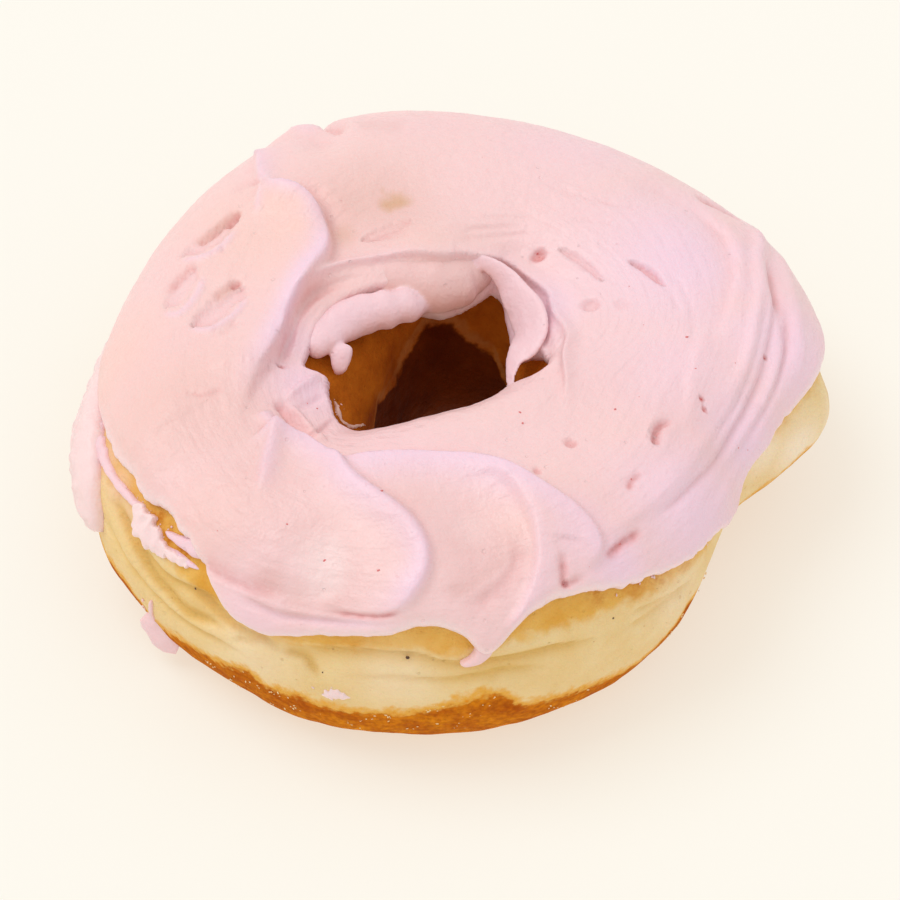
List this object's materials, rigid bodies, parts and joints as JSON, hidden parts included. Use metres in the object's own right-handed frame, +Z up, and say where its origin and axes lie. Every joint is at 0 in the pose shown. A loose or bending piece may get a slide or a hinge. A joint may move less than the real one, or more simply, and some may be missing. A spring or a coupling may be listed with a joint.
{
  "type": "frosted ring doughnut",
  "caption": "Raised ring doughnut with a thick, hand-spread layer of pale pink frosting that swirls over the top and rolls into the open hole.",
  "frame": {"origin": "on the surface the doughnut rests on, under the middle of its overall box", "axes": "+Z up; +X along the longest way across, towards the lobe that curls up; -Y towards the side with the drip"},
  "size_m": [0.0951, 0.0917, 0.0349],
  "materials": {
    "dough": "fried crust, matte, golden brown with a pale band round the side",
    "frosting": "soft satin frosting, pale strawberry pink"
  },
  "bodies": {
    "root": {"dough": "dough", "frosting": "frosting", "frosting_flake": "frosting", "frosting_smear": "frosting"}
  },
  "joints": []
}
